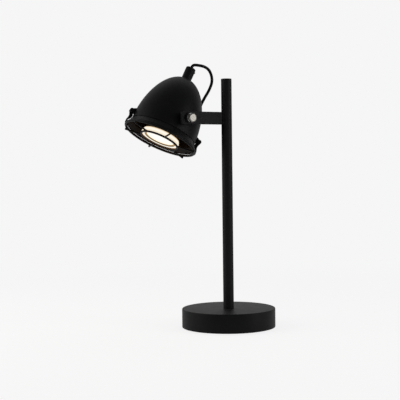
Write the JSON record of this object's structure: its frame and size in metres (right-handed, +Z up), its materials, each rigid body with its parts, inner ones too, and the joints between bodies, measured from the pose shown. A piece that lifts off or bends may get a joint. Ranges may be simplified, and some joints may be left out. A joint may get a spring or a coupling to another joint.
{
  "type": "table lamp",
  "caption": "Black tabletop searchlight lamp: bell head with wire guard tilting on an arm from a post on a round weighted base.",
  "frame": {"origin": "centre of the underside of the foot pad, under the post", "axes": "+Z up along the post; the arm points along -Y; the head hangs at the arm's -X side and tilts about an axis along X"},
  "size_m": [0.1973, 0.2194, 0.4269],
  "materials": {
    "black_paint": "satin black powder coat",
    "black_wire": "satin black enamel on steel wire",
    "iron": "as cast",
    "zinc_steel": "zinc plated",
    "nickel": "bright nickel plate",
    "felt": "black felt",
    "black_rubber": "matt",
    "fibre": "red vulcanised fibre",
    "black_cord": "matt black flexible sheath",
    "black_plastic": "moulded",
    "porcelain": "glazed",
    "brass": "plain",
    "lamp_glass": "glass silvered inside",
    "lit_glass": "warm white, lit"
  },
  "bodies": {
    "stand": {"base_cover": "black_paint", "base_weight": "iron", "base_plate": "zinc_steel", "foot_pad": "felt", "base_screws": "zinc_steel", "inlet_grommet": "black_rubber", "post_tube": "black_paint", "post_cap": "black_paint", "post_insert": "zinc_steel", "post_nipple": "zinc_steel", "post_washer": "zinc_steel", "post_nut": "zinc_steel", "terminal_block": "black_plastic", "terminal_screws": "brass", "lead_in_post": "black_cord", "arm_bar": "black_paint", "arm_welds": "black_paint", "entry_grommet": "black_rubber", "head_cord": "black_cord"},
    "head": {"bell_shell": "black_paint", "rim_collar": "black_paint", "bell_lugs": "black_paint", "guard_ring": "black_wire", "guard_spokes": "black_wire", "guard_centre_ring": "black_wire", "guard_straps": "black_paint", "tilt_boss": "black_paint", "friction_washer": "fibre", "flat_washer": "black_paint", "spring_washer": "zinc_steel", "tilt_bolt": "nickel", "neck_tube": "black_paint", "neck_gland": "black_plastic", "gland_screw": "zinc_steel", "neck_nipple": "zinc_steel", "inner_washer": "zinc_steel", "holder_nut": "zinc_steel", "lead_in_neck": "black_cord", "holder_back": "black_plastic", "holder_front": "black_plastic", "contact_disc": "porcelain", "screw_shell": "brass", "centre_contact": "brass", "lamp_face": "lit_glass", "lamp_body": "lamp_glass", "lamp_cap": "nickel", "lamp_tip": "brass"},
    "left_knob": {"knob_left": "black_paint"},
    "right_knob": {"knob_right": "black_paint"}
  },
  "joints": [
    {"name": "head_tilt", "type": "hinge", "parent": "stand", "child": "head", "pos_m": [0, -0.0715, 0.3352], "axis": [-1, 0, 0], "range_deg": [-45, 75], "deforming": ["head_cord"]},
    {"name": "left_knob_turn", "type": "hinge", "parent": "head", "child": "left_knob", "pos_m": [-0.08403, -0.12636, 0.34918], "axis": [0.9205, -0.3444, 0.1846], "range_deg": [0, 360]},
    {"name": "right_knob_turn", "type": "hinge", "parent": "head", "child": "right_knob", "pos_m": [-0.03737, -0.0295, 0.29725], "axis": [0.9205, -0.3444, 0.1846], "range_deg": [0, 360]}
  ]
}
